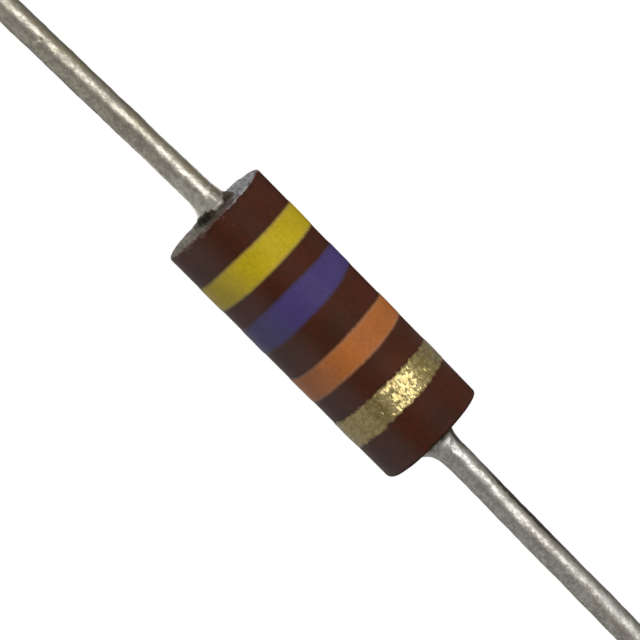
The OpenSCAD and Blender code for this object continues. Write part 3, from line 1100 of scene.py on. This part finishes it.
def build_camera(settings):
    """Camera that frames the resistor as the picture does."""
    tilt, roll = settings.tilt, settings.roll
    along = Vector((math.cos(tilt), 0.0, math.sin(tilt)))
    across = Vector((0.0, 1.0, 0.0))
    back = Vector((-math.sin(tilt), 0.0, math.cos(tilt)))
    right = math.cos(roll) * along + math.sin(roll) * across
    up = -math.sin(roll) * along + math.cos(roll) * across
    distance = settings.lens * settings.picture_px / SENSOR_WIDTH / settings.scale * MM
    half = settings.picture_px / 2.0
    aside = (half - settings.body_px[0]) / settings.scale * MM
    above = (settings.body_px[1] - half) / settings.scale * MM
    data = bpy.data.cameras.new("picture_camera")
    data.lens = settings.lens
    data.sensor_width = SENSOR_WIDTH
    data.clip_start = 0.005
    camera = bpy.data.objects.new("picture_camera", data)
    bpy.context.scene.collection.objects.link(camera)
    turn = Matrix((right, up, back)).transposed().to_4x4()
    place = back * distance + right * aside + up * above
    camera.matrix_world = Matrix.Translation(place) @ turn
    bpy.context.scene.camera = camera


def softbox(name, angle, size, power, mirrored=True):
    """Softbox over the part, off straight up towards +Y; glossy surfaces show it if it is mirrored."""
    data = bpy.data.lights.new(name, "AREA")
    data.shape = "RECTANGLE"
    data.size, data.size_y = size
    data.energy = power
    lamp = bpy.data.objects.new(name, data)
    heading = Vector((-0.04, math.sin(angle), math.cos(angle))).normalized()
    lamp.location = heading * LAMP_DISTANCE
    lamp.rotation_euler = lamp.location.to_track_quat("Z", "Y").to_euler()
    lamp.visible_camera = False
    lamp.visible_glossy = mirrored
    bpy.context.scene.collection.objects.link(lamp)


def floor_material():
    """White to the camera, and a lit and shaded card to what it lights."""
    card = Finish("pale_floor")
    x, y = card.x, card.y
    # A dark strip lies along the +Y side. It is deepest beside the body, less deep beside the
    # wires and lighter beside the gold band.
    gap = card.window(x, 2.0, 2.4, 3.8, 4.3, 0.63)
    strip = card.product(
        card.window(y, 0.9, 1.7, 3.8, 6.5),
        card.ramp(x, -6.5, -4.6, 0.55, 0.96),
        card.ramp(x, 4.6, 5.4, 1.0, 0.62),
        card.calculate("SUBTRACT", 1.0, gap),
    )
    past_end = card.product(card.window(x, 4.3, 5.0, 5.2, 6.6, 0.6), card.ramp(y, -0.8, 0.2))
    strip = card.calculate("MAXIMUM", strip, past_end)
    shade = card.mix(strip, (0.5, 0.5, 0.49), (0.01, 0.01, 0.01))
    # The card is brightest just in front of the left end face.
    front = card.product(card.window(x, -8.5, -6.5, -4.6, -4.2), card.window(y, -3.0, -2.0, 2.0, 3.0))
    shade = card.mix(front, shade, (1.35, 1.35, 1.37))
    seen = card.add("ShaderNodeLightPath")["Is Camera Ray"]
    return card.finished({
        "Emission Color": card.mix(seen, shade, (1.0, 1.0, 0.998)),
        "Emission Strength": 1.0,
        "Base Color": (0.0, 0.0, 0.0),
        "Roughness": 1.0,
        "Specular IOR Level": 0.0,
    })


def build_floor():
    """Plain pale floor just under the body."""
    form = bmesh.new()
    bmesh.ops.create_grid(form, x_segments=4, y_segments=4, size=FLOOR_REACH)
    mesh = bpy.data.meshes.new("floor")
    form.to_mesh(mesh)
    form.free()
    floor = bpy.data.objects.new("floor", mesh)
    floor.location.z = -Body.widest_r * MM - FLOOR_GAP
    bpy.context.scene.collection.objects.link(floor)
    mesh.materials.append(floor_material())


def build_world():
    """Soft surroundings: pale low down, darker overhead."""
    world = bpy.data.worlds.new("surroundings")
    bpy.context.scene.world = world
    world.use_nodes = True
    net = Net(world.node_tree)
    direction = net.add("ShaderNodeTexCoord")["Generated"]
    _, y, z = net.add("ShaderNodeSeparateXYZ", {0: direction})
    low = net.mix(net.ramp(y, -0.1, 0.5), (0.55, 0.55, 0.545), (0.46, 0.46, 0.455))
    colour = net.mix(net.ramp(z, 0.6, 0.95), low, (0.29, 0.29, 0.29))
    background = net.nodes["Background"]
    net.fill(background.inputs["Color"], colour)
    net.fill(background.inputs["Strength"], 1.0)


class RESISTOR_OT_stage(Operator):
    """Set up the camera, the softboxes, the surroundings and the pale floor"""

    bl_idname = "resistor.stage"
    bl_label = "Stage"

    def execute(self, context):
        build_camera(context.scene.resistor_stage)
        softbox("key_softbox", math.radians(33.0), (0.92, 0.29), 2.05)
        softbox("wide_softbox", math.radians(44.0), (0.6, 0.6), 0.16, mirrored=False)
        build_world()
        build_floor()
        context.scene.view_settings.view_transform = "Standard"
        return {"FINISHED"}


class RESISTOR_PT_finish(Panel):
    """Resistor finish tools"""

    bl_label = "Resistor Finish"
    bl_idname = "RESISTOR_PT_finish"
    bl_space_type = "VIEW_3D"
    bl_region_type = "UI"
    bl_category = "Resistor"

    def draw(self, context):
        layout = self.layout
        for operator in OPERATORS:
            layout.operator(operator.bl_idname)


SETTINGS = {
    "resistor_jacket": ResistorJacketSettings,
    "resistor_wires": ResistorWireSettings,
    "resistor_bands": ResistorBandSettings,
    "resistor_stage": ResistorStageSettings,
}
OPERATORS = (RESISTOR_OT_stage, RESISTOR_OT_jacket, RESISTOR_OT_wires, RESISTOR_OT_bands)
CLASSES = (*SETTINGS.values(), *OPERATORS, RESISTOR_PT_finish)


def register():
    """Registers the settings, the tools and the panel."""
    for cls in CLASSES:
        bpy.utils.register_class(cls)
    for name, cls in SETTINGS.items():
        setattr(bpy.types.Scene, name, PointerProperty(type=cls))


def unregister():
    """Takes the settings, the tools and the panel away again."""
    for name in SETTINGS:
        delattr(bpy.types.Scene, name)
    for cls in reversed(CLASSES):
        bpy.utils.unregister_class(cls)


def main():
    """Builds the whole finish."""
    register()
    bpy.ops.resistor.stage()
    bpy.ops.resistor.jacket()
    bpy.ops.resistor.wires()
    bpy.ops.resistor.bands()


if __name__ == "__main__":
    main()
